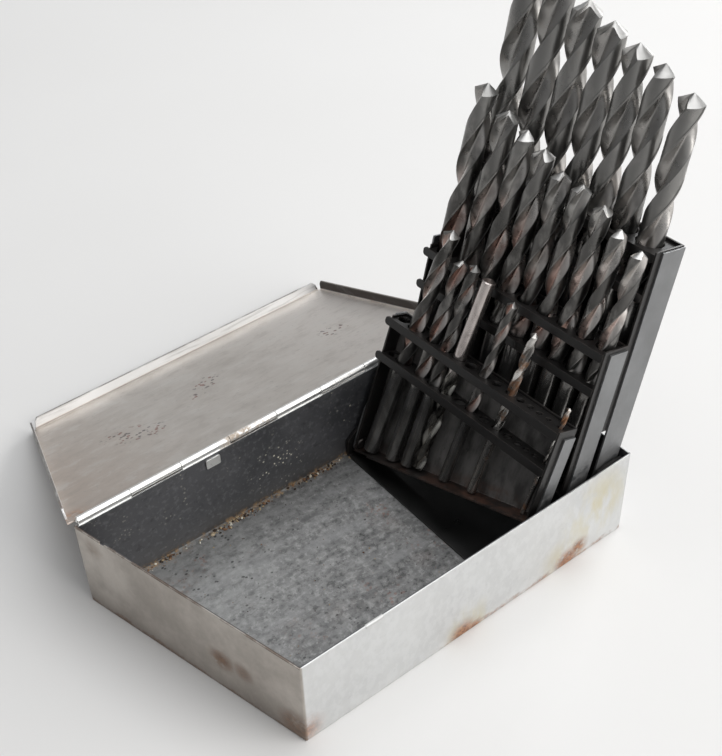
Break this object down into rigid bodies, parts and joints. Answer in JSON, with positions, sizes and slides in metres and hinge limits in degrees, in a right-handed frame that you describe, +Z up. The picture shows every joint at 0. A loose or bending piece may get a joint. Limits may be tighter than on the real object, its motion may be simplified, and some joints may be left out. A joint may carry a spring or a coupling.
{
  "type": "drill bit case",
  "caption": "Trapezoid folded-steel drill case: hinged lid with turned-down edges, racks that fold flat into the tray, and twist drills standing in perforated shelves.",
  "frame": {"origin": "on the tray's flat underside, halfway along the front wall and halfway between the front wall and the hinge wall", "axes": "+X along the front wall towards the square end that carries the racks, +Y from the front wall to the hinge wall, +Z up out of the open tray"},
  "size_m": [0.2244, 0.2117, 0.2074],
  "materials": {
    "tray_steel": "bare sheet steel, dull, with rust stains",
    "lid_steel": "bare sheet steel, warm grey, small pits",
    "plated_steel": "bright plated hinge and clips",
    "rivet_steel": "dark steel rivets",
    "arm_steel": "satin grey steel strip",
    "black_enamel": "worn black enamel on sheet steel",
    "drill_steel": "black-oxide high speed steel"
  },
  "bodies": {
    "tray": {"base_shell": "tray_steel", "base_hinge_leaf": "plated_steel", "front_latch_tab": "plated_steel", "rear_clip": "plated_steel", "rack_bracket": "black_enamel", "rivet_back_far": "rivet_steel", "rivet_back_near": "rivet_steel", "rivet_front_far": "rivet_steel", "rivet_front_near": "rivet_steel", "rivet_middle_far": "rivet_steel", "rivet_middle_near": "rivet_steel"},
    "hinge_pin": {"hinge_pin": "plated_steel"},
    "lid": {"lid_shell": "lid_steel", "lid_hinge_leaf": "plated_steel"},
    "rack_front": {"rack_front": "black_enamel", "arm_front_far": "arm_steel", "arm_front_near": "arm_steel", "drill_front_1": "drill_steel", "drill_front_2": "drill_steel", "drill_front_3": "drill_steel", "drill_front_4": "drill_steel", "drill_front_5": "drill_steel", "drill_front_6": "drill_steel", "drill_front_7": "drill_steel", "shelf_front_lower": "black_enamel", "shelf_front_upper": "black_enamel"},
    "rack_middle": {"rack_middle": "black_enamel", "arm_middle_far": "arm_steel", "arm_middle_near": "arm_steel", "drill_middle_1": "drill_steel", "drill_middle_2": "drill_steel", "drill_middle_3": "drill_steel", "drill_middle_4": "drill_steel", "drill_middle_5": "drill_steel", "drill_middle_6": "drill_steel", "drill_middle_7": "drill_steel", "drill_middle_8": "drill_steel", "drill_middle_9": "drill_steel", "shelf_middle_lower": "black_enamel", "shelf_middle_upper": "black_enamel"},
    "rack_back": {"rack_back": "black_enamel", "arm_back_far": "arm_steel", "arm_back_near": "arm_steel", "drill_back_1": "drill_steel", "drill_back_2": "drill_steel", "drill_back_3": "drill_steel", "drill_back_4": "drill_steel", "drill_back_5": "drill_steel", "drill_back_6": "drill_steel", "drill_back_7": "drill_steel", "shelf_back_lower": "black_enamel", "shelf_back_upper": "black_enamel"}
  },
  "joints": [
    {"name": "back_rack_fold", "type": "hinge", "parent": "tray", "child": "rack_back", "pos_m": [0.0726, 0, 0.0358], "axis": [0, -1, 0], "range_deg": [0, 103]},
    {"name": "middle_rack_fold", "type": "hinge", "parent": "tray", "child": "rack_middle", "pos_m": [0.0523, 0, 0.0205], "axis": [0, -1, 0], "range_deg": [0, 104]},
    {"name": "front_rack_fold", "type": "hinge", "parent": "tray", "child": "rack_front", "pos_m": [0.025, 0, 0.007], "axis": [0, -1, 0], "range_deg": [0, 110]},
    {"name": "lid_follow", "type": "hinge", "parent": "tray", "child": "hinge_pin", "pos_m": [-0.01425, 0.055, 0.0435], "axis": [1, 0, 0], "range_deg": [0, 96]},
    {"name": "lid_swing", "type": "hinge", "parent": "hinge_pin", "child": "lid", "pos_m": [-0.01425, 0.055, 0.0435], "axis": [1, 0, 0], "range_deg": [0, 106.8]}
  ],
  "couplings": [
    {"joint": "middle_rack_fold", "follows": "back_rack_fold", "ratio": 1.0097},
    {"joint": "front_rack_fold", "follows": "back_rack_fold", "ratio": 1.068},
    {"joint": "lid_follow", "follows": "back_rack_fold", "ratio": 0.932}
  ]
}
